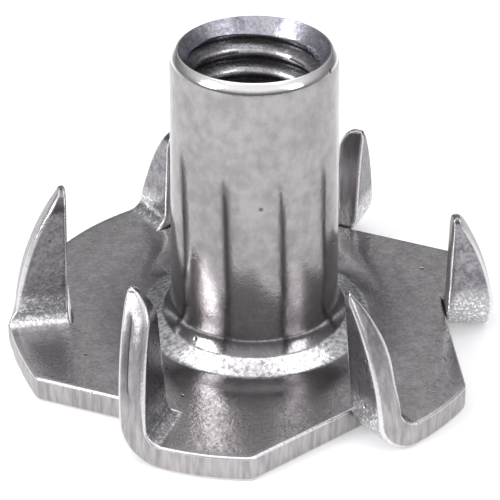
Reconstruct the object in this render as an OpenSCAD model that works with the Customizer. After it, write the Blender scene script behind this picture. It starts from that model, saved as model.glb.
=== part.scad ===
// Six-prong tee nut: a threaded barrel drawn up from a round sheet flange,
// with prongs cut from the flange's rim and turned up to bite into wood.
// Origin: on the barrel's axis, at the flange's underside. The barrel points up.

/* [Sheet] */
// Thickness of the sheet that the flange and the prongs are made of
sheet_t = 1.6; // [1.2:0.1:2]
// Diameter of the round flange
flange_d = 28.8; // [27:0.2:36]
// Radius of the rounded corner where the rim meets a prong's cut
corner_r = 0.7; // [0.2:0.1:1]

/* [Barrel] */
// Outer diameter of the barrel at its mouth
barrel_d = 9.5; // [9.2:0.1:10.4]
// Outer diameter of the barrel at the flange's underside, were it to run straight on
barrel_foot_d = 10.1; // [9.6:0.1:11]
// Overall height, from the flange's underside to the barrel's mouth
height = 19; // [16:0.1:30]
// Diameter of the bore at the crests of its thread
bore_d = 6.8; // [6:0.1:7.2]
// Radius of the rounded outer edge at the barrel's mouth
mouth_round = 0.3; // [0.2:0.05:0.6]
// Width of the flat lip between that rounded edge and the countersink
lip_w = 0.05; // [0.02:0.01:0.1]
// Depth of the countersink that leads into the thread
countersink_depth = 1.05; // [0.5:0.05:2]

/* [Foot] */
// Radius of the fillet between the barrel and the flange
foot_fillet = 1.6; // [0.8:0.1:3.2]
// Radius of the rounded entry to the bore in the flange's underside
entry_r = 4; // [2:0.1:4.4]

/* [Prongs] */
// Number of prongs round the flange
prong_count = 6; // [3:1:6]
// Width of a prong at its root
prong_w = 3.3; // [2.4:0.1:3.6]
// Height of a prong's tip above the flange's upper face
prong_h = 7.6; // [6:0.1:8.4]
// Inner radius of the bend at a prong's root
bend_r = 0.9; // [0.6:0.05:1.4]
// Angle through which a prong is turned up
bend_angle = 87; // [78:1:90]
// Width of the slit beside a prong's root
slit_w = 0.15; // [0.1:0.05:0.3]
// How far a prong's outer edge draws in from the rim over its bend
neck_w = 0.1; // [0.05:0.05:0.3]
// Width of the shoulder that the bending tool leaves round the end of a bend
shoulder = 0.04; // [0.03:0.01:0.1]
// Radius of a prong's blunted tip
tip_r = 0.25; // [0.15:0.05:0.4]
// Radius to which the punch rolled a tip's edge over on the prong's inner face
roll_r = 1.1; // [0.6:0.1:1.3]

/* [Hidden] */
$fn = 96;

flange_r = flange_d / 2;
barrel_r = barrel_d / 2;
bore_r = bore_d / 2;
// The barrel's taper: how much its radius shrinks with each millimetre of height
taper = (barrel_foot_d - barrel_d) / 2 / (height - mouth_round);
// Radius at which the countersink opens at the mouth
countersink_r = barrel_r - mouth_round - lip_w;
// Distance from the axis to the straight cut that frees a prong
cut_r = flange_r - prong_w;
// Radius of the bend's outer side
bend_out_r = bend_r + sheet_t;
// Radius of a blade's outer edge, which is the arc of the rim that it was cut from
blade_arc_r = flange_r - shoulder;
// Angle from +X of the first prong's even place
prong_phase = 7;
// The prongs weren't cut and bent quite alike. Each list holds one value for each prong:
// how far its bend line is turned from its even place
bend_turns = [-6.5, -1, -1.5, 2, 2, 2.5];
// how far that line is set off from the flange's radius
bend_offsets = [1.4, 0.2, 0, 0, 0, -0.2];
// how much further than bend_angle it is turned up
extra_bends = [2, 2, 1, -5, -2, 3];
// how much taller it stands than prong_h
extra_heights = [-0.7, -0.4, -0.6, 0.3, 0.3, 0.2];
// how much further than neck_w its outer edge draws in
extra_necks = [0, 0, 0, 0, 0, 0.3];
// the angle by which its blade leans towards the axis
blade_leans = [0, 2, 2.5, 3, 2, 7];
// how much further than cut_r the cut that freed it starts from the axis
cut_errors = [0.3, 0, -0.1, -0.05, 0, 0.2];
// the angle by which that cut veers towards the rim
cut_veers = [3.5, 0, 0, 0, 0, -2];
// Overlap or step that joins shapes cleanly into one solid
eps = 0.01;
// A length past every edge that a cutting shape has to clear
past = 5;

// Outer radius of the barrel at a height above the underside
function barrel_r_at(z) = barrel_foot_d / 2 - taper * z;
// A prong's value from one of the lists above, by its number
function own(list, k) = list[k % len(list)];
// Distance from the axis at which the cut that frees a prong starts
function cut_start(k) = cut_r + own(cut_errors, k);
// Inner edge of a prong's bend, clear of the flange's cut edge, and its outer edge
function prong_in(k) = cut_start(k) + slit_w;
function prong_out(k) = flange_r - neck_w - own(extra_necks, k);
// Angle through which a prong is turned up
function prong_bend(k) = bend_angle + own(extra_bends, k);
// Length of a prong's flat part, along the middle of the sheet
function prong_len(k) = let(
    angle = prong_bend(k),
    rise = prong_h + own(extra_heights, k) - bend_r
) (rise + (bend_r + sheet_t / 2) * cos(angle)) / sin(angle);
// The point that is far_a from point a and far_b from point b, on their left seen from a
function left_corner(a, far_a, b, far_b) = let(
    gap = norm(b - a),
    ahead = (b - a) / gap,
    left = [-ahead[1], ahead[0]],
    run = (gap * gap + far_a * far_a - far_b * far_b) / (2 * gap)
) a + ahead * run + left * sqrt(far_a * far_a - run * run);

// Half section of the barrel and its foot, with no bore
module barrel_section() {
    // Centre of the fillet, which runs out of the flange and into the tapered wall
    fillet_z = sheet_t + foot_fillet;
    fillet_x = barrel_r_at(fillet_z) + foot_fillet - eps;
    polygon([
        [0, 0],
        [barrel_r_at(0), 0],
        [barrel_r, height - mouth_round],
        [0, height - mouth_round]
    ]);
    square([barrel_r - mouth_round, height]);
    translate([barrel_r - mouth_round, height - mouth_round])
        circle(r = mouth_round);
    difference() {
        square([fillet_x, fillet_z]);
        translate([fillet_x, fillet_z])
            circle(r = foot_fillet);
    }
}

// Countersink at the mouth, as a half section
module countersink_section() {
    polygon([
        [0, height - countersink_depth],
        [bore_r, height - countersink_depth],
        [countersink_r, height],
        [countersink_r, height + past],
        [0, height + past]
    ]);
}

// Rounded entry at the underside, as a half section
module entry_section() {
    difference() {
        translate([0, -past])
            square([bore_r + entry_r, entry_r + past]);
        translate([bore_r + entry_r, entry_r])
            circle(r = entry_r);
        translate([bore_r + entry_r, -past])
            square([entry_r, entry_r + past]);
    }
}

// Moves a prong, or the cut that frees it, to its place on the flange
module at_prong(k) {
    rotate([0, 0, prong_phase + k * 360 / prong_count + own(bend_turns, k)])
        translate([0, own(bend_offsets, k), 0])
            children();
}

// The segment of the rim that is cut away where a prong was, seen from the prong's own
// place. The corner where the cut meets the rim is rounded off.
module prong_cut(k) {
    veer = own(cut_veers, k);
    along = [sin(veer), -cos(veer)];
    out = [cos(veer), sin(veer)];
    start = [cut_start(k), 0];
    // The flange's own centre
    middle = [0, -own(bend_offsets, k)];
    // Centre of the rounded corner, which lies corner_r inside the cut and inside the rim
    corner_gap = flange_r - corner_r;
    arm = start - out * corner_r - middle;
    run = sqrt(pow(arm * along, 2) - arm * arm + corner_gap * corner_gap) - arm * along;
    corner = middle + arm + along * run;
    polygon([
        start,
        start + along * (flange_r + past),
        [flange_r + past, -flange_r - past],
        [flange_r + past, 0]
    ]);
    difference() {
        polygon([
            corner,
            corner + out * (corner_r + eps),
            corner + out * (corner_r + eps) + along * past,
            middle + (corner - middle) * flange_r / corner_gap * (1 + eps)
        ]);
        translate(corner)
            circle(r = corner_r + eps);
    }
}

// Outline of the flange with each prong's segment cut out of its rim
module flange_outline() {
    difference() {
        circle(r = flange_r);
        for (k = [0 : prong_count - 1])
            at_prong(k)
                prong_cut(k);
    }
}

// Outline of a prong's blade, which is its flat part: x runs out from the axis and y up
// from its bend, which is wider by the shoulder at either side
module blade_outline(k) {
    lean = own(blade_leans, k);
    inner = prong_in(k) + shoulder;
    outer = prong_out(k) - shoulder;
    // Centre of the blunted tip, which touches the leaning inner edge
    tip_y = prong_len(k) - tip_r;
    tip = [inner - tip_y * tan(lean) + tip_r / cos(lean), tip_y];
    // Centre of the outer arc, and where the arc touches the tip's circle
    arc = left_corner([outer, 0], blade_arc_r, tip, blade_arc_r - tip_r);
    touch = arc + (tip - arc) * blade_arc_r / (blade_arc_r - tip_r);
    translate(tip)
        circle(r = tip_r + eps);
    intersection() {
        translate(arc)
            circle(r = blade_arc_r);
        polygon([
            [inner, -eps],
            [flange_r, -eps],
            [flange_r, touch[1]],
            touch,
            tip,
            tip - [cos(lean), sin(lean)] * tip_r
        ]);
    }
}

// A prong's blade, lying flat: its outer face is below, and its tip's upper edge is rolled over
module blade(k) {
    thick = sheet_t - 2 * shoulder;
    roll_y = prong_len(k) - roll_r;
    difference() {
        linear_extrude(thick)
            blade_outline(k);
        difference() {
            translate([0, roll_y, thick - roll_r])
                cube([flange_r + past, past, past]);
            translate([-past, roll_y, thick - roll_r])
                rotate([0, 90, 0])
                    cylinder(r = roll_r + eps, h = flange_r + 3 * past);
        }
    }
}

// One prong, along +X, with its bend line on the X axis
module prong(k) {
    translate([0, 0, sheet_t + bend_r]) {
        // The bend
        mirror([0, 1, 0])
            rotate([0, 90, 0])
                rotate_extrude(angle = prong_bend(k))
                    translate([bend_r, prong_in(k)])
                        square([sheet_t, prong_out(k) - prong_in(k)]);
        rotate([-prong_bend(k), 0, 0])
            translate([0, 0, -bend_out_r + shoulder])
                mirror([0, 1, 0])
                    blade(k);
    }
}

// The whole nut: one drawn and stamped piece of sheet steel
module tee_nut() {
    color([0.66, 0.65, 0.64])
        difference() {
            union() {
                rotate_extrude()
                    barrel_section();
                linear_extrude(sheet_t)
                    flange_outline();
                for (k = [0 : prong_count - 1])
                    at_prong(k)
                        prong(k);
            }
            translate([0, 0, -past])
                cylinder(r = bore_r, h = height + 2 * past);
            rotate_extrude()
                countersink_section();
            rotate_extrude()
                entry_section();
        }
}

tee_nut();
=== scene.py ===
"""Looks of the six-prong tee nut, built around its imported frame.

One drawn and stamped piece of sheet steel: a threaded barrel, a round flange and six
prongs cut from the flange's rim and turned up. Its mesh is worked out here in
millimetres, as patches that share their edges, and stored in metres.
"""
import math

import bmesh
import bpy
import numpy as np
from mathutils import Matrix, Vector


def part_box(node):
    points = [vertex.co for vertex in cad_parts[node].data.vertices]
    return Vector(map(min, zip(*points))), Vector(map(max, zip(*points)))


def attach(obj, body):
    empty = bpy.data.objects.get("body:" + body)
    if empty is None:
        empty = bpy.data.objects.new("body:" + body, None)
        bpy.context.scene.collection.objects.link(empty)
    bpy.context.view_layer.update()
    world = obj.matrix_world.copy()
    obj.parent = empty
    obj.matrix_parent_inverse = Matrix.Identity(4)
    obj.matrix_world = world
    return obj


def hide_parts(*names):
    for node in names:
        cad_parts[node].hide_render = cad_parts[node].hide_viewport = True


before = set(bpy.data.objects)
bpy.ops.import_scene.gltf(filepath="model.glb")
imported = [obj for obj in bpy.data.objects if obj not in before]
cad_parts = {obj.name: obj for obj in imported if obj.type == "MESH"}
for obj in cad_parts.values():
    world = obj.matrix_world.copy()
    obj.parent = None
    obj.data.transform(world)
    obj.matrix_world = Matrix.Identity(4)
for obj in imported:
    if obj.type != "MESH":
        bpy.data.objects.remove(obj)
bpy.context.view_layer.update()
MM = 0.001

# ---------------------------------------------------------------- sizes, in millimetres
low, high = (np.array(corner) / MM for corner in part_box("tee_nut"))

HEIGHT = high[2]
FLANGE_R = 14.4
SHEET_T = 1.6
BORE_R = 3.4
MOUTH_R = 4.75
FOOT_R = 5.05
# The mouth's lip, from its ridge down to the wall: elevations of the face's normal, and the
# distances from the ridge along the face at which it has them
LIP_TILT = (80.0, 48.0, 39.0, 14.0, 0.0)
LIP_PATH = (0.0, 0.04, 0.36, 0.66, 1.1)
# How far the countersink starts inside the lip's ridge
RIDGE_W = 0.05
COUNTERSINK_DEPTH = 1.05
# The wall flares below FLARE_Z down to a crease, by a power of the way down. From there the
# foot slopes out to the flange: SLOPE_R are radii and SLOPE the angles at which the face falls
FLARE_Z = 2.95
FLARE_OUT = 0.57
FLARE_FALL = 1.08
FLARE_POWER = 1.8
SLOPE_R = (5.6, 6.7, 6.95, 7.6, 8.1, 9.5)
SLOPE = (23.0, 21.0, 4.0, -3.0, -8.0, 0.0)
ENTRY_R = 4.0
CORNER_R = 0.8

THREAD_PITCH = 1.25
THREAD_MAJOR_R = 4.0
# Turns by which the thread is set round the bore
THREAD_PHASE = 0.32
# Share of half a pitch that is flat at the crest, and share that the flank takes
CREST_SHARE = 0.12
FLANK_SHARE = 0.70
# How far below the mouth the thread ends, and how far outside its root the entry meets it
THREAD_DROP = 0.28
ENTRY_GAP = 0.02
# Height over which the thread gets its full depth above the entry, and the share that it
# starts with
RUN_IN = 0.8
RUN_IN_SHARE = 0.35
# In the mouth the crests are worn back by WORN_CRESTS. The wear sets in at the first of
# these distances below the thread's top and is full at the second
WORN_CRESTS = 0.18
WORN_FROM = (2.0, 1.0)

# Radius at which the body of revolution ends and the flange's sectors start
INNER_RING_R = 10.2
# Rounding of the sheet's edges on top and underneath
EDGE_ROUND = 0.16
UNDER_ROUND = 0.22

# The prongs, none of them cut and bent quite like the next:
#   az      azimuth of the bend line
#   off     how far that line is set off from the flange's radius
#   cut     distance from the axis at which the cut that freed the prong starts
#   veer    angle by which that cut veers towards the rim
#   turn    angle that the prong is turned up
#   bend_r  inner radius of its bend
#   neck    how far its outer edge draws in from the rim over the bend
#   lean    angle by which the blade leans towards the axis
#   tip     height of its tip
#   roll    depth to which the tip is rolled over on the inner face, and the length of that
#   edge    exponent of the roll: 0.5 is an ellipse, 1 a parabola
#   ease    rounding of the blade's outer edge on its inner face
#   curl    how far the tip curls back
#   blade_shade  how much painted shade darkens the blade's faces, from 0 to 1
#   seam    if it shows, the lowest and highest place along the blade of the line between the
#           smooth and the torn part of its sheared edge
PRONGS = [
    dict(az=-81.0, off=0.0, cut=11.05, veer=0.0, turn=82.0, bend_r=0.9, neck=0.1, lean=3.0,
         tip=9.5, roll=(1.15, 1.4), edge=0.5, ease=0.35, curl=0.0, blade_shade=0.75),
    dict(az=-21.0, off=0.0, cut=11.1, veer=0.0, turn=85.0, bend_r=0.9, neck=0.1, lean=2.5,
         tip=9.5, roll=(1.3, 1.8), edge=0.85, ease=0.28, curl=0.0, blade_shade=0.3, seam=(2.0, 6.1)),
    dict(az=39.5, off=-0.2, cut=11.3, veer=-2.0, turn=90.0, bend_r=0.9, neck=0.4, lean=7.0,
         tip=9.45, roll=(1.4, 4.0), edge=1.0, ease=0.45, curl=0.0, blade_shade=0.3),
    dict(az=90.5, off=1.4, cut=11.4, veer=3.5, turn=89.0, bend_r=0.9, neck=0.1, lean=0.0,
         tip=8.5, roll=(1.15, 1.4), edge=0.5, ease=0.35, curl=0.0, blade_shade=0.0),
    dict(az=156.0, off=0.2, cut=11.1, veer=0.0, turn=89.0, bend_r=0.9, neck=0.15, lean=2.0,
         tip=8.8, roll=(1.15, 1.5), edge=0.5, ease=0.35, curl=0.25, blade_shade=0.9),
    dict(az=215.5, off=0.0, cut=11.0, veer=0.0, turn=88.0, bend_r=0.9, neck=0.15, lean=2.5,
         tip=8.6, roll=(1.15, 1.4), edge=0.5, ease=0.35, curl=0.0, blade_shade=0.0),
]
TIP_R = 0.25
# How far a tip is blunted on its outer face, and the length of that
NOSE = 0.3
NOSE_LEN = 2.5 * NOSE
# The tip's last row, in degrees round its arc
TIP_ARC = 86.0
# The seam's place down the edge and half its width, as shares, and its depth. It fades in over
# SEAM_IN around its lowest place, and out over SEAM_OUT below its highest
SEAM_PLACE = 0.66
SEAM_W = 0.07
SEAM_DEPTH = 0.06
SEAM_IN = (0.8, 0.4)
SEAM_OUT = 0.3
# Width of the slit between a prong's blade and the flange
SLIT_W = 0.15
# Length up a blade over which its outer edge gets its full rounding, and over which its painted
# shade sets in
# EASE_LEN = 2.0
# BLADE_SHADE_LEN = 1.5
EASE_LEN = 2.0
BLADE_SHADE_LEN = 1.5
# A roll starts at least this far up the blade
ROLL_FROM = 1.0
# Shares of the bend over which the slit opens, the rounding beside it opens, and the bright
# finish sets in; and the span up the blade over which that finish ends
SLIT_OPENS = 0.5
ROUND_OPENS = 0.1
BRIGHT_OPENS = 0.35
BRIGHT_ENDS = (0.2, 1.2)
# Distance from the slit's end over which the flange's rounding opens, and the number of columns
# over which a sector's normals turn from its bend line to its rim
EDGE_OPENS = 0.6
RIM_TURNS = 6
# A rounding takes at most these shares of a section's width and thickness
WIDTH_SHARE = 0.3
THICK_SHARE = 0.4
# The rim is pressed outwards a little beside one prong
BULGE_AZ = -84.0
BULGE_H = 0.33
BULGE_SPREAD = 10.0

# ---------------------------------------------------------------- mesh density
# The body of revolution: steps along the lip, and those kept, close where its face turns
# fastest; then rows of the wall, its flare, the foot's steep and shallow part, and the entry
LIP_STEPS = 26
LIP_KEPT = (0, 1, 2, 4, 6, 8, 10, 11, 12, 13, 14, 15, 16, 18, 21, 25)
WALL_ROWS = 18
FLARE_ROWS = 14
STEEP_ROWS = 20
SHALLOW_ROWS = 8
ENTRY_ROWS = 14
ENTRY_FLAT_ROWS = 8
# Heights at which the entry is tried to find where the thread starts
ENTRY_SAMPLES = 400
# Rows of the thread to each turn
THREAD_ROWS = 9
# Columns along a sector's rim, round its corner and along its cut
RIM_STEPS = 18
CORNER_STEPS = 8
CHORD_STEPS = 24
# Rows across a face inside and outside the bend lines, round an edge and down a side
RING_INNER = 4
RING_OUTER = 9
ROUND_STEPS = 4
SIDE_STEPS = 4
# Rows along a prong: its bend, its blade, the rolled part and the tip
BEND_STEPS = 14
BLADE_STEPS = 30
ROLL_STEPS = 14
TIP_STEPS = 6

# Distances below which the patches' shared points are welded and empty edges dropped, in metres
WELD = 2e-7
EMPTY_EDGE = 1e-8
# Edges that turn by more than this stay sharp
SHARP_ANGLE = 40.0


def turn(az):
    """Unit vector along an azimuth: 0 faces -Y and 90 faces +X."""
    a = np.radians(az)
    return np.stack([np.sin(a), -np.cos(a)], -1)


def lerp(a, b, t):
    """a where t is 0, b where t is 1, and between them in proportion."""
    return a + (b - a) * t


def smooth(x, a, b):
    """0 below a, 1 above b, and smooth between them."""
    t = np.clip((np.asarray(x, float) - a) / (b - a), 0, 1)
    return t * t * (3 - 2 * t)


# ---------------------------------------------------------------- patches
MASKS = ("cut", "bend", "groove", "blade_shade")


class Patches:
    """Vertices and faces of grid patches, with each vertex's finish masks."""

    def __init__(self):
        """Starts with no points and no faces."""
        self.points = []
        self.masks = []
        self.faces = []
        self.kinds = []
        self.count = 0

    def grid(self, points, kind, cut=0.0, bend=0.0, groove=0.0, blade_shade=0.0, flip=False,
             closed=False):
        """Adds a patch. points has shape rows x columns x 3, the masks are numbers or arrays that
        spread over rows x columns, and closed joins the last column to the first."""
        rows, cols = points.shape[:2]
        ids = np.arange(rows * cols).reshape(rows, cols) + self.count
        if closed:
            ids = np.concatenate([ids, ids[:, :1]], 1)
        a, b = ids[:-1, :-1].ravel(), ids[:-1, 1:].ravel()
        c, d = ids[1:, 1:].ravel(), ids[1:, :-1].ravel()
        quads = np.stack([a, d, c, b] if flip else [a, b, c, d], 1)
        self.points.append(points.reshape(-1, 3))
        mask = np.empty((rows, cols, len(MASKS)))
        for i, values in enumerate((cut, bend, groove, blade_shade)):
            mask[..., i] = values
        self.masks.append(mask.reshape(-1, len(MASKS)))
        self.faces.append(quads)
        self.kinds += [kind] * len(quads)
        self.count += rows * cols

    def mesh(self, name, kinds):
        """One welded mesh in metres, with a material index for each kind."""
        points = np.concatenate(self.points) * MM
        faces = np.concatenate(self.faces)
        masks = np.concatenate(self.masks)
        data = bpy.data.meshes.new(name)
        data.from_pydata(points.tolist(), [], faces.tolist())
        data.polygons.foreach_set("material_index", [kinds.index(k) for k in self.kinds])
        for i, label in enumerate(MASKS):
            layer = data.attributes.new(label, "FLOAT", "POINT")
            layer.data.foreach_set("value", masks[:, i].astype(np.float32))
        bm = bmesh.new()
        bm.from_mesh(data)
        bmesh.ops.remove_doubles(bm, verts=bm.verts, dist=WELD)
        bmesh.ops.dissolve_degenerate(bm, edges=bm.edges, dist=EMPTY_EDGE)
        bmesh.ops.recalc_face_normals(bm, faces=bm.faces)
        bm.to_mesh(data)
        bm.free()
        data.update()
        return data


# ---------------------------------------------------------------- the body of revolution
def lip():
    """Radii and heights of the mouth's lip, from its ridge down to the wall."""
    path = np.linspace(0, LIP_PATH[-1], LIP_STEPS)
    tilt = np.radians(np.interp((path[1:] + path[:-1]) / 2, LIP_PATH, LIP_TILT))
    out = np.append(0, np.cumsum(np.sin(tilt) * np.diff(path)))
    down = np.append(0, np.cumsum(np.cos(tilt) * np.diff(path)))
    kept = list(LIP_KEPT)
    return MOUTH_R - out[-1] + out[kept], HEIGHT - down[kept]


LIP_R, LIP_Z = lip()
RIDGE_R = LIP_R[0]
COUNTERSINK_R = RIDGE_R - RIDGE_W


def barrel_r_at(z):
    """Radius of the barrel's tapered wall at height z."""
    taper = (FOOT_R - MOUTH_R) / LIP_Z[-1]
    return FOOT_R - taper * z


def revolve(az, r, z):
    """Points of radius r and height z at azimuths az; r and z may vary with the azimuth."""
    r = np.broadcast_to(np.asarray(r, float).reshape(len(r), -1), (len(r), len(az)))
    z = np.broadcast_to(np.asarray(z, float).reshape(len(z), -1), r.shape)
    xy = turn(az)[None] * r[..., None]
    return np.concatenate([xy, z[..., None]], -1)


def outer_profile():
    """Radii and heights from the countersink's edge, down the wall and its flare, to the flange."""
    r = [COUNTERSINK_R] + list(LIP_R)
    z = [HEIGHT] + list(LIP_Z)
    for h in np.linspace(LIP_Z[-1], FLARE_Z, WALL_ROWS)[1:]:
        r.append(barrel_r_at(h))
        z.append(h)
    for fall in np.linspace(0, 1, FLARE_ROWS)[1:]:
        r.append(barrel_r_at(FLARE_Z) + FLARE_OUT * fall ** FLARE_POWER)
        z.append(FLARE_Z - FLARE_FALL * fall)
    steep = np.linspace(r[-1], SLOPE_R[2], STEEP_ROWS)
    shallow = np.linspace(SLOPE_R[2], SLOPE_R[-1], SHALLOW_ROWS)
    foot_r = np.append(steep, shallow[1:])
    slope = np.interp((foot_r[1:] + foot_r[:-1]) / 2, SLOPE_R, SLOPE)
    foot_z = z[-1] - np.cumsum(np.tan(np.radians(slope)) * np.diff(foot_r))
    # What is left of the height closes smoothly, so that the foot ends level with the flange
    foot_z += (SHEET_T - foot_z[-1]) * smooth(foot_r[1:], SLOPE_R[0], SLOPE_R[-1])
    r += list(foot_r[1:]) + [INNER_RING_R]
    z += list(foot_z) + [SHEET_T]
    return np.array(r), np.array(z)


def entry_profile(lowest):
    """Radii and heights of the rounded entry, from the thread's start down to the underside."""
    z = np.linspace(lowest, 0, ENTRY_ROWS)
    reach = np.sqrt(np.maximum(ENTRY_R ** 2 - (ENTRY_R - z) ** 2, 0))
    r = BORE_R + ENTRY_R - reach
    flat = np.linspace(BORE_R + ENTRY_R, INNER_RING_R, ENTRY_FLAT_ROWS)[1:]
    return np.append(r, flat), np.append(z, np.zeros(len(flat)))


def entry_r_at(z):
    """Radius of the rounded entry at height z."""
    fall = np.clip(ENTRY_R - z, 0, ENTRY_R)
    return BORE_R + ENTRY_R - np.sqrt(ENTRY_R ** 2 - fall ** 2)


def thread_depth(turns):
    """Depth of the thread below its crests, at a place counted in turns up the bore."""
    p = np.abs((turns % 1) - 0.5) * 2
    return (THREAD_MAJOR_R - BORE_R) * np.clip((p - CREST_SHARE) / FLANK_SHARE, 0, 1)


def thread_rows(az):
    """Helical rows of the thread, cut off level at the countersink and at the entry: their radii
    and heights, the share of the thread's full depth there, and the thread's top and bottom."""
    top = HEIGHT - THREAD_DROP
    heights = np.linspace(ENTRY_R, 0, ENTRY_SAMPLES)
    bottom = float(np.interp(THREAD_MAJOR_R + ENTRY_GAP, entry_r_at(heights), heights))
    rows = int((top - bottom) / THREAD_PITCH + 3) * THREAD_ROWS
    j = np.arange(rows + 1)[::-1]
    # Two turns down, so that the lowest rows start below the bottom at every azimuth
    z = bottom + THREAD_PITCH * (j[:, None] / THREAD_ROWS + (az[None] - 720) / 360)
    z = np.clip(z, bottom, top)
    rise = (z - (HEIGHT - COUNTERSINK_DEPTH)) / COUNTERSINK_DEPTH
    cone = BORE_R + rise * (COUNTERSINK_R - BORE_R)
    depth = thread_depth(z / THREAD_PITCH - az[None] / 360 + THREAD_PHASE)
    run_in = lerp(RUN_IN_SHARE, 1, smooth(z, bottom, bottom + RUN_IN))
    crest = BORE_R + WORN_CRESTS * smooth(z, top - WORN_FROM[0], top - WORN_FROM[1])
    r = np.maximum(BORE_R + depth * run_in, np.maximum(cone, entry_r_at(z)))
    r = np.maximum(r, crest)
    return r, z, depth / (THREAD_MAJOR_R - BORE_R), top, bottom


# ---------------------------------------------------------------- the prongs
def on_line(prong, x):
    """Point of a prong's bend line at a distance x along it."""
    return turn(prong["az"]) * x + turn(prong["az"] + 90) * prong["off"]


def rim_r(az):
    """Radius of the flange's rim at an azimuth."""
    return FLANGE_R + BULGE_H * np.exp(-(((az - BULGE_AZ) / BULGE_SPREAD) ** 2))


def rim_reach(prong):
    """Distance along a prong's bend line to the rim."""
    return math.sqrt(rim_r(prong["az"]) ** 2 - prong["off"] ** 2)


def section(x_in, x_out, thick, top_in, top_out, under, seam=0.0):
    """Ring of points (x, w) round a strip's section; w is 0 underneath and thick on top.
    It runs along the top outwards, down the outer edge, back underneath and up the inner edge.
    The corners of its inner edge, its outer edge on top and both edges underneath are rounded.
    seam is 1 where a narrow line is drawn into the outer edge and 0 where there is none."""
    arc = np.linspace(0, math.pi / 2, ROUND_STEPS + 1)[1:]
    under_in = min(under, top_in * under / EDGE_ROUND)
    ring = [(x, thick) for x in np.linspace(x_in + top_in, x_out - top_out, RING_OUTER + 1)]
    for a in arc:
        ring.append((x_out - top_out * (1 - math.sin(a)), thick - top_out * (1 - math.cos(a))))
    even = np.linspace(0, 1, SIDE_STEPS + 1)
    lined = np.array([0, SEAM_PLACE - SEAM_W, SEAM_PLACE, SEAM_PLACE + SEAM_W, 1])
    for i, t in enumerate(lerp(even, lined, seam)[1:]):
        ring.append((x_out - SEAM_DEPTH * seam * (i == 1), lerp(thick - top_out, under, t)))
    ring += [(x_out - under * (1 - math.cos(a)), under * (1 - math.sin(a))) for a in arc]
    ring += [(x, 0.0) for x in np.linspace(x_out - under, x_in + under_in, RING_OUTER + 1)[1:]]
    ring += [(x_in + under_in * (1 - math.sin(a)), under_in * (1 - math.cos(a))) for a in arc]
    ring += [(x_in, w) for w in np.linspace(under_in, thick - top_in, SIDE_STEPS + 1)[1:]]
    for a in arc[:-1]:
        ring.append((x_in + top_in * (1 - math.cos(a)), thick - top_in * (1 - math.sin(a))))
    return np.array(ring)


def section_masks():
    """1 on the sheared sides of a section's ring, 0 on its faces."""
    face = [0.0] * (RING_OUTER + 1)
    side = [0.5] * (ROUND_STEPS - 1) + [1.0] * (SIDE_STEPS + 1) + [0.5] * (ROUND_STEPS - 1)
    return np.array(face + side + face + side)


def arc_through(a, b, r):
    """Centre of the circle of radius r through points a and b, on the left on the way to b."""
    half = (b - a) / 2
    left = np.array([-half[1], half[0]]) / np.hypot(*half)
    return a + half + left * math.sqrt(r * r - half @ half)


def prong_rows(prong):
    """Sections of a prong from its root to its tip: a dict of sizes for each row."""
    up = math.radians(prong["turn"])
    bend_r = prong["bend_r"]
    inner = prong["cut"] + SLIT_W
    outer = FLANGE_R - prong["neck"]
    rim = rim_reach(prong)
    rows = []
    for t in np.linspace(0, 1, BEND_STEPS + 1):
        x_in = lerp(prong["cut"], inner, float(smooth(t, 0, SLIT_OPENS)))
        swell = (rim - FLANGE_R) * math.sin(math.pi * t)
        x_out = lerp(rim, outer, float(smooth(t, 0, 1))) + swell
        rows.append(dict(x_in=x_in, x_out=x_out, v=0.0, angle=t * up, low=0.0, thick=SHEET_T,
                         part=0.0, open_in=float(smooth(t, 0, ROUND_OPENS)), ease=0.0,
                         seam=0.0))
    over_bend = prong["tip"] - SHEET_T - bend_r
    length = (over_bend + (bend_r + SHEET_T / 2) * math.cos(up)) / math.sin(up)
    slant = math.tan(math.radians(prong["lean"]))
    neck_v = length - TIP_R
    neck = np.array([inner - slant * neck_v + 2 * TIP_R, neck_v])
    arc = arc_through(np.array([outer, 0.0]), neck, FLANGE_R)
    roll, roll_len = prong["roll"]
    seam_low, seam_high = prong.get("seam", (0.0, 0.0))

    def seam_at(v):
        """How far the seam shows at a distance v up the blade, from 0 to 1."""
        if seam_high == 0:
            return 0.0
        shown = smooth(v, seam_low - SEAM_IN[0], seam_low + SEAM_IN[1])
        return float(shown * (1 - smooth(v, seam_high - SEAM_OUT, seam_high)))

    def blade_row(v, x_in, x_out):
        """Adds the section at a distance v up the blade, rolled and blunted towards the tip."""
        t = np.clip((v - length + roll_len) / roll_len, 0, 1)
        thick = SHEET_T - roll * (1 - (1 - t * t) ** prong["edge"])
        t = np.clip((v - length + NOSE_LEN) / NOSE_LEN, 0, 1)
        low = NOSE * (1 - math.sqrt(1 - t * t))
        rows.append(dict(x_in=x_in, x_out=x_out, v=v, angle=up, low=low, thick=thick - low,
                         part=v / length, open_in=1.0, ease=float(smooth(v, 0, EASE_LEN)),
                         seam=seam_at(v)))

    roll_v = max(length - roll_len, ROLL_FROM)
    low_part = np.linspace(0, roll_v, BLADE_STEPS + 1)[1:]
    round_tip = np.sin(np.radians(np.linspace(0, 90, ROLL_STEPS + 1)[1:]))
    high_part = roll_v + (neck_v - roll_v) * round_tip
    for v in np.append(low_part, high_part):
        blade_row(v, inner - slant * v, arc[0] + math.sqrt(FLANGE_R ** 2 - (v - arc[1]) ** 2))
    for a in np.radians(np.linspace(0, TIP_ARC, TIP_STEPS + 1)[1:]):
        v = neck_v + TIP_R * math.sin(a)
        middle = neck[0] - TIP_R - slant * TIP_R * math.sin(a)
        blade_row(v, middle - TIP_R * math.cos(a), middle + TIP_R * math.cos(a))
    return rows


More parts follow.
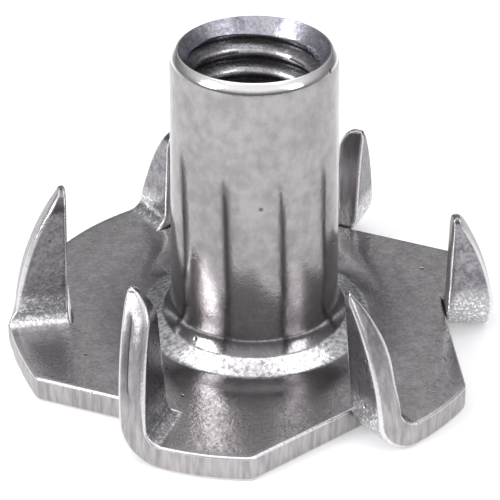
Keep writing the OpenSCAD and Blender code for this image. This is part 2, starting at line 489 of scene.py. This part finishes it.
def prong_points(prong):
    """Rows of points round each of the prong's sections."""
    out_dir = np.append(turn(prong["az"]), 0)
    along = np.append(turn(prong["az"] - 90), 0)
    up = np.array([0, 0, 1.0])
    root = np.append(on_line(prong, 0.0), 0)
    grid = []
    for row in prong_rows(prong):
        limit = min((row["x_out"] - row["x_in"]) * WIDTH_SHARE, row["thick"] * THICK_SHARE)
        top_out = min(lerp(EDGE_ROUND, prong["ease"], row["ease"]), limit)
        top_in = min(EDGE_ROUND, limit) * row["open_in"]
        under = min(UNDER_ROUND, limit)
        ring = section(row["x_in"], row["x_out"], row["thick"], top_in, top_out, under, row["seam"])
        x, w = ring[:, :1], ring[:, 1:] + row["low"]
        angle = row["angle"]
        rho = prong["bend_r"] + SHEET_T - w + prong["curl"] * row["part"] ** 2
        centre = SHEET_T + prong["bend_r"]
        base = along * rho * math.sin(angle) + up * (centre - rho * math.cos(angle))
        direction = along * math.cos(angle) + up * math.sin(angle)
        grid.append(root + out_dir * x + base + direction * row["v"])
    return np.array(grid)


# ---------------------------------------------------------------- the whole nut
def azimuth(point):
    """Azimuth of a point, in degrees."""
    return math.degrees(math.atan2(point[0], -point[1]))


def after(az, start):
    """The azimuth az, counted on past start."""
    return start + (az - start) % 360


class Sector:
    """The flange between one prong's bend line and the next prong's, column by column.

    Its outline runs along the rim, round a corner and along the cut that freed the next
    prong. Each column has a point of the outline, the outline's normal there, and a middle
    point that lies on the bend line at either end of the sector."""

    def __init__(self, root, freed):
        """root is the prong that the sector starts at, and freed the one that its cut freed."""
        normal_az = freed["az"] + freed["veer"]
        normal = turn(normal_az)
        along = turn(normal_az - 90)
        cut_start = on_line(freed, freed["cut"])
        arm = cut_start - normal * CORNER_R
        reach = arm @ along
        run = math.sqrt(reach ** 2 - arm @ arm + (FLANGE_R - CORNER_R) ** 2) - reach
        corner = arm + along * run

        rim_start = on_line(root, rim_reach(root))
        start_az = after(azimuth(rim_start), root["az"] - 90)
        corner_az = after(azimuth(corner), start_az)
        rim_az = np.linspace(start_az, corner_az, RIM_STEPS + 1)[:-1]
        rim = turn(rim_az) * rim_r(rim_az)[:, None]
        rim[0] = rim_start
        round_az = np.linspace(corner_az, after(normal_az, start_az), CORNER_STEPS + 1)[:-1]
        bend = corner + CORNER_R * turn(round_az)
        steps = np.linspace(0, 1, CHORD_STEPS + 1)[:, None]
        chord = lerp(corner + CORNER_R * normal, cut_start, steps)
        self.points = np.concatenate([rim, bend, chord])
        along_chord = np.repeat(normal[None], len(steps), 0)
        self.normals = np.concatenate([turn(rim_az), turn(round_az), along_chord])
        turned = smooth(np.arange(len(self.points)), 0, RIM_TURNS)[:, None]
        self.normals = lerp(turn(root["az"]), self.normals, turned)
        self.normals /= np.linalg.norm(self.normals, axis=1)[:, None]

        # The edges' rounding closes where the slit beside the next prong starts
        left = np.linalg.norm(self.points - cut_start, axis=1)
        self.open = smooth(left, 0.0, EDGE_OPENS)
        # Counted from a little before the sector's start, which its first points may lie behind
        point_az = np.array([after(azimuth(q), start_az - 20) for q in self.points])
        part = (point_az - point_az[0]) / (point_az[-1] - point_az[0])
        root_start = on_line(root, root["cut"])
        twist = after(azimuth(root_start), start_az - 90) - start_az
        self.az = point_az + twist * (1 - part)
        self.middle_r = lerp(np.hypot(*root_start), np.hypot(*cut_start), part)


def flange_rows(sector):
    """Rows from the inner ring over the top, down the edge and back underneath, for one sector."""
    rows, masks = [], []

    def put(flat, z, mask):
        """Adds one row of points at height z."""
        z = np.broadcast_to(z, flat.shape[:1])
        rows.append(np.concatenate([flat, z[:, None]], 1))
        masks.append(mask)

    def edge(inset):
        """The outline, drawn in by inset."""
        return sector.points - sector.normals * inset[:, None]

    def face(inset, z, t_list):
        """Adds rows from the inner ring, at t 0, over the bend lines, at 1, to the rim, at 2."""
        rim = edge(inset)
        inner = turn(sector.az) * INNER_RING_R
        middle_r = np.minimum(sector.middle_r, np.hypot(rim[:, 0], rim[:, 1]))
        middle = turn(sector.az) * middle_r[:, None]
        for t in t_list:
            put(lerp(inner, middle, t) if t <= 1 else lerp(middle, rim, t - 1), z, 0.0)

    steps = np.append(np.linspace(0, 1, RING_INNER + 1), 1 + np.linspace(0, 1, RING_OUTER + 1)[1:])
    top = EDGE_ROUND * sector.open
    under = UNDER_ROUND * sector.open
    arc = np.linspace(0, math.pi / 2, ROUND_STEPS + 1)
    face(top, SHEET_T, steps)
    for a in arc[1:]:
        mask = 1.0 if a == arc[-1] else 0.5
        put(edge(top * (1 - math.sin(a))), SHEET_T - top * (1 - math.cos(a)), mask)
    for t in np.linspace(0, 1, SIDE_STEPS + 1)[1:]:
        put(edge(0 * top), lerp(SHEET_T - top, under, t), 1.0)
    for a in arc[1:-1]:
        put(edge(under * (1 - math.cos(a))), under * (1 - math.sin(a)), 0.5)
    face(under, 0.0, steps[::-1])
    return np.array(rows), np.array(masks)


def build_nut():
    """The whole nut as one mesh."""
    patches = Patches()
    sectors = [Sector(root, freed) for root, freed in zip(PRONGS, PRONGS[1:] + PRONGS[:1])]
    az = np.concatenate([s.az[:-1] for s in sectors] + [sectors[0].az[:1] + 360])
    r, z = outer_profile()
    patches.grid(revolve(az, r, z), "outside")
    r, z, groove, top, bottom = thread_rows(az)
    patches.grid(revolve(az, r, z), "bore", groove=groove, flip=True)
    cone_r = np.array([COUNTERSINK_R, float(r[0].max())])
    patches.grid(revolve(az, cone_r, np.array([HEIGHT, top])), "bore", flip=True)
    r, z = entry_profile(bottom)
    r[0] = BORE_R + ENTRY_R - math.sqrt(ENTRY_R ** 2 - (ENTRY_R - bottom) ** 2)
    patches.grid(revolve(az, r, z), "underside", flip=True)
    for sector, prong in zip(sectors, PRONGS):
        rows, cut = flange_rows(sector)
        patches.grid(rows, "outside", cut=cut[:, None])
        sections = prong_rows(prong)
        bent = np.array([row["angle"] for row in sections]) / sections[-1]["angle"]
        along = np.array([row["v"] for row in sections])
        bend = smooth(bent, 0.0, BRIGHT_OPENS) * (1 - smooth(along, *BRIGHT_ENDS))
        points = prong_points(prong)
        # The seam is the second point down the section's outer edge
        groove = np.zeros(points.shape[:2])
        groove[:, RING_OUTER + ROUND_STEPS + 2] = [row["seam"] for row in sections]
        # Painted shade on the blade, growing in above the bend
        blade_shade = prong["blade_shade"] * smooth(along, 0.0, BLADE_SHADE_LEN)
        patches.grid(points, "outside", section_masks()[None], bend[:, None], groove,
                     blade_shade[:, None], closed=True)
        tip = np.broadcast_to(points[-1].mean(0), points[-1].shape)
        patches.grid(np.array([points[-1], tip]), "outside", cut=1.0, closed=True)
    return patches.mesh("nut", ["outside", "bore", "underside"])


nut = bpy.data.objects.new("nut", build_nut())
bpy.context.scene.collection.objects.link(nut)
for polygon in nut.data.polygons:
    polygon.use_smooth = True
nut.data.set_sharp_from_angle(angle=math.radians(SHARP_ANGLE))


# ---------------------------------------------------------------- materials
# The zones of the outer faces' finishes, in millimetres: distances from the axis over which
# the flange's finish sets in, and where the painted highlight of the ring at the foot starts and
# ends
FLANGE_FROM = (7.4, 10.4)
RING_HIGHLIGHT_FROM = (5.50, 5.62)
RING_HIGHLIGHT_TO = (6.8, 7.0)
# Heights over which a blade's painted shade and the lip's painted highlight set in, over which
# the grained low part of the barrel ends, and over which the barrel's shade towards the foot fades
BLADE_FROM = (2.2, 4.0)
LIP_HIGHLIGHT_FROM = (18.50, 18.62)
GRAINED_TO = (5.0, 9.0)
SHADE_TO = (5.0, 15.0)
# Height over which the countersink's mottle sets in at its lower edge
COUNTERSINK_FADE = 0.25
# How far the mask of the sheared edges may be off a corner's until the worn, painted highlight ends
WORN_HIGHLIGHT_TO = (0.0, 0.45)
# Share of the thread's depth over which the painted shade in its roots sets in
ROOT_SHADE_FROM = (0.0, 0.35)

# Colours. The pairs are the dark and the pale tone of a mottle
BARREL_TONES = ((0.30, 0.289, 0.290, 1), (0.405, 0.390, 0.391, 1))
FLANGE_TONES = ((0.40, 0.386, 0.388, 1), (0.65, 0.628, 0.63, 1))
BLADE_SHADED_TONES = ((0.18, 0.174, 0.186, 1), (0.36, 0.348, 0.368, 1))
CUT_TONES = ((0.32, 0.306, 0.309, 1), (0.48, 0.46, 0.463, 1))
BEND_TONES = ((0.46, 0.455, 0.47, 1), (0.95, 0.95, 0.95, 1))
THREAD_TONES = ((0.40, 0.385, 0.41, 1), (0.90, 0.88, 0.90, 1))
COUNTERSINK_TONES = ((0.26, 0.25, 0.30, 1), (0.58, 0.57, 0.62, 1))
UNDERSIDE_TONES = ((0.42, 0.41, 0.40, 1), (0.55, 0.54, 0.53, 1))
FOOT_SHADE = (0.20, 0.19, 0.195, 1)
LIP_HIGHLIGHT_COLOUR = (0.97, 0.95, 0.93, 1)
RING_HIGHLIGHT_COLOUR = (0.97, 0.96, 0.97, 1)
STIPPLE_COLOUR = (0.22, 0.208, 0.222, 1)
BLADE_SHADE_COLOUR = (0.10, 0.096, 0.104, 1)
BLADE_CUT_SHADE = (0.20, 0.196, 0.21, 1)
WORN_HIGHLIGHT_COLOUR = (0.86, 0.84, 0.86, 1)
SEAM_COLOUR = (0.08, 0.076, 0.084, 1)
PIT_COLOUR = (0.05, 0.048, 0.05, 1)
THREAD_ROOT_SHADE = (0.06, 0.057, 0.062, 1)

# How much of what lies under it each of these takes over, from 0 to 1
FOOT_SHADE_COVER = 0.22
LIP_HIGHLIGHT_COVER = 0.95
RING_HIGHLIGHT_COVER = 0.90
STIPPLE_COVER = 0.6
BLADE_SHADE_COVER = 0.75
BLADE_CUT_SHADE_COVER = 0.25
WORN_HIGHLIGHT_COVER = 0.75
SEAM_COVER = 0.7
PIT_COVER = 0.7
CUT_ROUGH_COVER = 0.8
THREAD_ROOT_SHADE_COVER = 0.75

# Roughness, where the mottle is darkest and where it is palest
BARREL_ROUGH = (0.20, 0.12)
FLANGE_ROUGH = (0.30, 0.17)
CUT_ROUGH = (0.36, 0.36, 0.36, 1)

# Scales of the noises, in features to a metre, from blotches down to grain
BLOTCH = 380.0
INNER_BLOTCH = 700.0
DENTS = 1500.0
STREAKS = 3600.0
GRAIN = 5200.0
# Streaks run up and down: their noise is drawn out along the height by this share
STREAK_STRETCH = (1.0, 1.0, 0.12)
# Pits: how many to a metre, and their size as a share of the space between them
PITS = 400.0
PIT_SIZE = (0.035, 0.065)
# Spans of a noise over which a mottle goes from dark to pale: the narrower, the harder
SOFT = (0.38, 0.62)
MIDDLING = (0.40, 0.60)
HARD = (0.42, 0.58)
SPARKS = (0.50, 0.62)
# The ring's painted highlight is streaked: the span of that noise, and what is left where it is
# lowest
RING_HIGHLIGHT_STREAKS = (0.36, 0.60)
RING_HIGHLIGHT_REST = 0.2
# Height of the bump in metres, its strength on a smooth face, and what is added on the flange,
# on a bend and on the low part of the barrel
BUMP_HEIGHT = 0.00006
BUMP = 0.18
FLANGE_BUMP = 0.25
BEND_BUMP = 0.6
LOW_BARREL_BUMP = 0.12


class Shader:
    """Small helper that adds and links the nodes of one material or world."""

    def __init__(self, owner):
        """owner is a new material or world, whose nodes are cleared."""
        owner.use_nodes = True
        self.owner = owner
        self.tree = owner.node_tree
        self.tree.nodes.clear()

    def fill(self, socket, value):
        """Links value to a socket if it is a socket itself, and otherwise sets it."""
        if isinstance(value, bpy.types.NodeSocket):
            self.tree.links.new(value, socket)
        else:
            socket.default_value = value

    def node(self, kind, inputs=(), **settings):
        """A node with its settings, and its inputs by name or number."""
        made = self.tree.nodes.new(kind)
        for key, value in settings.items():
            setattr(made, key, value)
        for key, value in dict(inputs).items():
            self.fill(made.inputs[key], value)
        return made

    def noise(self, vector, scale, detail=4.0, roughness=0.55):
        """Noise around 0.5."""
        made = self.node("ShaderNodeTexNoise", {"Vector": vector, "Scale": scale,
                                                "Detail": detail, "Roughness": roughness})
        return made.outputs["Fac"]

    def ramp(self, value, low_in, high_in, low_out, high_out):
        """low_out below low_in, high_out above high_in, and straight between them."""
        made = self.node("ShaderNodeMapRange", {"Value": value,
                                                "From Min": low_in, "From Max": high_in,
                                                "To Min": low_out, "To Max": high_out})
        return made.outputs["Result"]

    def zone(self, value, span, low_out, high_out):
        """A ramp over a span that is given in millimetres."""
        return self.ramp(value, span[0] * MM, span[1] * MM, low_out, high_out)

    def mix(self, factor, a, b):
        """a where factor is 0 and b where it is 1."""
        return self.node("ShaderNodeMix", {0: factor, 6: a, 7: b}, data_type="RGBA").outputs[2]

    def math(self, operation, a, b=0.0):
        """The result of a math node."""
        return self.node("ShaderNodeMath", {0: a, 1: b}, operation=operation).outputs[0]

    def vector(self, operation, a, b=(0.0, 0.0, 0.0)):
        """The node of a vector operation."""
        return self.node("ShaderNodeVectorMath", {0: a, 1: b}, operation=operation)

    def blend(self, a, b, share):
        """The sum of a's share and b's rest."""
        rest = self.math("MULTIPLY", b, 1 - share)
        return self.math("ADD", self.math("MULTIPLY", a, share), rest)

    def mask(self, name):
        """One of the mesh's finish masks."""
        return self.node("ShaderNodeAttribute", attribute_name=name).outputs["Fac"]

    def steel(self, colour, rough, relief, strength):
        """Ends the material as bare metal with a bump, and returns it."""
        bumped = self.node("ShaderNodeBump", {"Height": relief, "Strength": strength,
                                              "Distance": BUMP_HEIGHT})
        metal = self.node("ShaderNodeBsdfPrincipled", {"Base Color": colour, "Roughness": rough,
                                                       "Metallic": 1.0,
                                                       "Normal": bumped.outputs["Normal"]})
        self.node("ShaderNodeOutputMaterial", {"Surface": metal.outputs[0]})
        return self.owner


def satin_steel():
    """The outer faces: a smooth drawn barrel, a grained matt flange, streaked sheared edges
    and prong bends that sparkle where the punch stretched them. Painted highlights lie on the
    lip, the ring round the foot and the rounded corners of the edges, and painted shade on the
    blades and their sheared edges."""
    s = Shader(bpy.data.materials.new("satin_steel"))
    place = s.node("ShaderNodeTexCoord").outputs["Object"]
    height = s.node("ShaderNodeSeparateXYZ", {0: place}).outputs["Z"]
    flat = s.vector("MULTIPLY", place, (1.0, 1.0, 0.0)).outputs[0]
    away = s.vector("LENGTH", flat).outputs["Value"]
    cut, bend, groove, blade_shade = (s.mask(name) for name in MASKS)
    blotch = s.noise(place, BLOTCH, 5.0, 0.6)
    mottle = s.noise(place, DENTS, 4.0, 0.65)
    grain = s.noise(place, GRAIN, 3.0, 0.6)
    streak = s.noise(s.vector("MULTIPLY", place, STREAK_STRETCH).outputs[0], STREAKS, 3.0, 0.6)
    tone = s.blend(blotch, mottle, 0.5)
    matt_tone = s.blend(mottle, grain, 0.5)
    flange = s.zone(away, FLANGE_FROM, 0.0, 1.0)
    blade = s.math("MULTIPLY", flange, s.zone(height, BLADE_FROM, 0.0, 1.0))
    low_barrel = s.zone(height, GRAINED_TO, 1.0, 0.0)

    # The barrel: mottled, darker towards the foot, with a painted highlight on the lip and, round
    # the foot, a ring of painted highlight. Its low part is stippled with grain
    colour = s.mix(s.ramp(tone, *MIDDLING, 0.0, 1.0), *BARREL_TONES)
    colour = s.mix(s.zone(height, SHADE_TO, FOOT_SHADE_COVER, 0.0), colour, FOOT_SHADE)
    off_flange = s.ramp(flange, 0.0, 0.1, 1.0, 0.0)
    # Painted highlight: the lip is coloured near white
    lip_highlight = s.math("MULTIPLY", s.zone(height, LIP_HIGHLIGHT_FROM, 0.0, LIP_HIGHLIGHT_COVER), off_flange)
    colour = s.mix(lip_highlight, colour, LIP_HIGHLIGHT_COLOUR)
    # Painted highlight: a near-white ring round the foot
    ring = s.zone(away, RING_HIGHLIGHT_FROM, 0.0, RING_HIGHLIGHT_COVER)
    ring = s.math("MULTIPLY", ring, s.zone(away, RING_HIGHLIGHT_TO, 1.0, 0.0))
    ring = s.math("MULTIPLY", ring, s.ramp(streak, *RING_HIGHLIGHT_STREAKS, RING_HIGHLIGHT_REST, 1.0))
    colour = s.mix(ring, colour, RING_HIGHLIGHT_COLOUR)
    stipple = s.math("MULTIPLY", low_barrel, s.ramp(grain, *MIDDLING, STIPPLE_COVER, 0.0))
    stipple = s.math("SUBTRACT", stipple, ring)
    colour = s.mix(stipple, colour, STIPPLE_COLOUR)

    # The flange; the blades, painted darker as shade, some with more painted shade than others; and
    # the bends
    flange_colour = s.mix(s.ramp(matt_tone, *SOFT, 0.0, 1.0), *FLANGE_TONES)
    colour = s.mix(flange, colour, flange_colour)
    # Painted shade: the blades get darker tones than the flange
    shaded_blade_colour = s.mix(s.ramp(matt_tone, *MIDDLING, 0.0, 1.0), *BLADE_SHADED_TONES)
    colour = s.mix(blade, colour, shaded_blade_colour)
    # Painted shade: a darker colour over each blade, more on some than others
    colour = s.mix(s.math("MULTIPLY", blade_shade, BLADE_SHADE_COVER), colour, BLADE_SHADE_COLOUR)
    bend_colour = s.mix(s.ramp(grain, *SPARKS, 0.0, 1.0), *BEND_TONES)
    colour = s.mix(bend, colour, bend_colour)

    # The sheared edges. Their mask is 0.5 on the rounded corners, which are painted bright: partly
    # wear, partly a painted highlight
    cut_colour = s.mix(s.ramp(streak, *SOFT, 0.0, 1.0), *CUT_TONES)
    # Painted shade: the blades' sheared edges are darker still
    blade_cut_shade = s.math("MULTIPLY", blade, BLADE_CUT_SHADE_COVER)
    cut_colour = s.mix(blade_cut_shade, cut_colour, BLADE_CUT_SHADE)
    colour = s.mix(cut, colour, cut_colour)
    from_corner = s.math("ABSOLUTE", s.math("SUBTRACT", cut, 0.5))
    worn_highlight = s.ramp(from_corner, *WORN_HIGHLIGHT_TO, 1.0, 0.0)
    colour = s.mix(s.math("MULTIPLY", worn_highlight, WORN_HIGHLIGHT_COVER), colour, WORN_HIGHLIGHT_COLOUR)
    colour = s.mix(s.math("MULTIPLY", groove, SEAM_COVER), colour, SEAM_COLOUR)

    pits = s.node("ShaderNodeTexVoronoi", {"Vector": place, "Scale": PITS}).outputs["Distance"]
    pit = s.ramp(pits, *PIT_SIZE, 1.0, 0.0)
    colour = s.mix(s.math("MULTIPLY", pit, PIT_COVER), colour, PIT_COLOUR)

    barrel_rough = s.ramp(tone, *SOFT, *BARREL_ROUGH)
    flange_rough = s.ramp(matt_tone, *SOFT, *FLANGE_ROUGH)
    rough = s.mix(flange, barrel_rough, flange_rough)
    rough = s.mix(s.math("MULTIPLY", cut, CUT_ROUGH_COVER), rough, CUT_ROUGH)

    relief = s.math("SUBTRACT", s.blend(grain, mottle, 0.4), pit)
    bumps = BUMP
    for part, strength in ((flange, FLANGE_BUMP), (bend, BEND_BUMP), (low_barrel, LOW_BARREL_BUMP)):
        bumps = s.math("ADD", s.math("MULTIPLY", part, strength), bumps)
    return s.steel(colour, rough, relief, bumps)


def plain_steel(name, tones, rough_low, rough_high, bump, mouth=False):
    """Bare steel with a mottled tone, fine grain and small dents. With mouth, painted shade
    darkens the thread's roots and the countersink has a mottle of its own."""
    s = Shader(bpy.data.materials.new(name))
    place = s.node("ShaderNodeTexCoord").outputs["Object"]
    blotch = s.noise(place, INNER_BLOTCH, 5.0, 0.65)
    grain = s.noise(place, GRAIN, 3.0, 0.6)
    dent = s.noise(place, DENTS, 4.0, 0.6)
    tone = s.blend(blotch, grain, 0.6)
    colour = s.mix(s.ramp(tone, *MIDDLING, 0.0, 1.0), *tones)
    rough = s.ramp(tone, *SOFT, rough_high, rough_low)
    if mouth:
        # Painted shade in the thread's roots
        root = s.ramp(s.mask("groove"), *ROOT_SHADE_FROM, 0.0, THREAD_ROOT_SHADE_COVER)
        colour = s.mix(root, colour, THREAD_ROOT_SHADE)
        height = s.node("ShaderNodeSeparateXYZ", {0: place}).outputs["Z"]
        edge = HEIGHT - COUNTERSINK_DEPTH
        mottled = s.mix(s.ramp(tone, *HARD, 0.0, 1.0), *COUNTERSINK_TONES)
        colour = s.mix(s.zone(height, (edge, edge + COUNTERSINK_FADE), 0.0, 1.0), colour, mottled)
    return s.steel(colour, rough, s.blend(grain, dent, 0.35), bump)


nut.data.materials.append(satin_steel())
nut.data.materials.append(plain_steel("thread_steel", THREAD_TONES, 0.2, 0.36, 0.6, mouth=True))
nut.data.materials.append(plain_steel("underside_steel", UNDERSIDE_TONES, 0.28, 0.42, 0.4))
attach(nut, "root")
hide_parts("tee_nut")


# ---------------------------------------------------------------- floor, world and lamps
FLOOR_HALF = 0.6
# The floor lies this far below the nut's underside, so that the two don't share a plane
FLOOR_GAP = 0.00002
# The floor's own grey, and what is added to it in view and in reflections to read as white
FLOOR_SHADE = 0.85
FLOOR_LIFT = 0.26


def white_ground(name, shade, lift):
    """Matt white that keeps shadows and reads as white to the camera and in reflections."""
    s = Shader(bpy.data.materials.new(name))
    rays = s.node("ShaderNodeLightPath")
    seen = s.math("MAXIMUM", rays.outputs["Is Camera Ray"], rays.outputs["Is Glossy Ray"])
    seen = s.math("MAXIMUM", seen, rays.outputs["Is Transmission Ray"])
    matt = s.node("ShaderNodeBsdfDiffuse", {"Color": (shade, shade, shade, 1)})
    glow = s.node("ShaderNodeEmission", {"Color": (1, 1, 1, 1),
                                         "Strength": s.math("MULTIPLY", seen, lift)})
    both = s.node("ShaderNodeAddShader", {0: matt.outputs[0], 1: glow.outputs[0]})
    s.node("ShaderNodeOutputMaterial", {"Surface": both.outputs[0]})
    return s.owner


floor_data = bpy.data.meshes.new("floor")
corners = [(-FLOOR_HALF, -FLOOR_HALF, 0), (FLOOR_HALF, -FLOOR_HALF, 0),
           (FLOOR_HALF, FLOOR_HALF, 0), (-FLOOR_HALF, FLOOR_HALF, 0)]
floor_data.from_pydata(corners, [], [(0, 1, 2, 3)])
floor = bpy.data.objects.new("floor", floor_data)
floor.location.z = low[2] * MM - FLOOR_GAP
floor_data.materials.append(white_ground("white_floor", FLOOR_SHADE, FLOOR_LIFT))
bpy.context.scene.collection.objects.link(floor)

# The room's light as pairs of how high a direction rises, from 0 at the horizon to 1 overhead,
# and the level there. The side behind the camera is dim near the horizon and pale from half
# way up. The side behind the nut is dimmest just above the horizon and brightens upwards
FRONT_SKY = [(0.0, 0.25), (0.25, 0.30), (0.50, 0.62), (0.70, 0.95), (1.0, 0.80)]
BACK_SKY = [(0.0, 0.45), (0.15, 0.16), (0.36, 0.24), (0.52, 0.43), (0.75, 0.52), (1.0, 0.80)]
# The span of a direction's y over which the front gives way to the back, and the levels of
# green and blue as shares of red
SKY_BORDER = (-0.5, 0.4)
SKY_GREEN = 0.995
SKY_BLUE = 1.025

studio = Shader(bpy.data.worlds.new("studio"))
bpy.context.scene.world = studio.owner
direction = studio.node("ShaderNodeTexCoord").outputs["Generated"]
split = studio.node("ShaderNodeSeparateXYZ", {0: direction})


def sky(stops):
    """The room's light by the height of a direction, from its stops."""
    made = studio.node("ShaderNodeValToRGB", {0: split.outputs["Z"]})
    while len(made.color_ramp.elements) < len(stops):
        made.color_ramp.elements.new(0.5)
    for element, (place, level) in zip(made.color_ramp.elements, stops):
        element.position = place
        element.color = (level, level * SKY_GREEN, level * SKY_BLUE, 1)
    return made.outputs[0]


side = studio.node("ShaderNodeMapRange", {"Value": split.outputs["Y"],
                                          "From Min": SKY_BORDER[0], "From Max": SKY_BORDER[1]},
                   interpolation_type="SMOOTHSTEP")
room = studio.mix(side.outputs["Result"], sky(FRONT_SKY), sky(BACK_SKY))
seen = studio.node("ShaderNodeLightPath").outputs["Is Camera Ray"]
back = studio.node("ShaderNodeBackground", {"Color": studio.mix(seen, room, (1, 1, 1, 1))})
studio.node("ShaderNodeOutputWorld", {"Surface": back.outputs[0]})

# Area lamps that face the nut: place and size in metres, and power in watts. The two at the
# sides give the pale streaks on the barrel and the foot
SOFTBOXES = [
    dict(name="overhead", place=(0.0, 0.02, 0.30), size=(0.30, 0.26), power=0.31),
    dict(name="left", place=(-0.24, -0.117, 0.17), size=(0.11, 0.16), power=0.50),
    dict(name="right", place=(0.23, -0.148, 0.17), size=(0.10, 0.16), power=0.15),
]
LAMP_COLOUR = (0.98, 0.98, 1.0)
middle = Vector((0, 0, HEIGHT * MM / 2))
for given in SOFTBOXES:
    lamp = bpy.data.lights.new(given["name"], "AREA")
    lamp.shape = "RECTANGLE"
    lamp.size, lamp.size_y = given["size"]
    lamp.energy = given["power"]
    lamp.color = LAMP_COLOUR
    box = bpy.data.objects.new(given["name"], lamp)
    box.location = given["place"]
    box.rotation_euler = (middle - box.location).to_track_quat("-Z", "Y").to_euler()
    bpy.context.scene.collection.objects.link(box)

# ---------------------------------------------------------------- camera
# Distance from its target in metres, angles in degrees and lens in millimetres
CAMERA_AWAY = 0.1037
CAMERA_RISE = 32.2
CAMERA_ROLL = -0.15
CAMERA_LENS = 125.7
CAMERA_SENSOR = 36.0
CAMERA_NEAR = 0.005
target = Vector((-0.00027, 0.0, 0.0058))
rise = math.radians(CAMERA_RISE)
camera = bpy.data.objects.new("camera", bpy.data.cameras.new("camera"))
camera.location = target + Vector((0, -math.cos(rise), math.sin(rise))) * CAMERA_AWAY
camera.rotation_mode = "QUATERNION"
facing = (target - camera.location).to_track_quat("-Z", "Y")
roll = Matrix.Rotation(math.radians(CAMERA_ROLL), 3, "Z").to_quaternion()
camera.rotation_quaternion = facing @ roll
camera.data.lens = CAMERA_LENS
camera.data.sensor_width = CAMERA_SENSOR
camera.data.clip_start = CAMERA_NEAR
bpy.context.scene.collection.objects.link(camera)
bpy.context.scene.camera = camera
bpy.context.scene.view_settings.view_transform = "Standard"
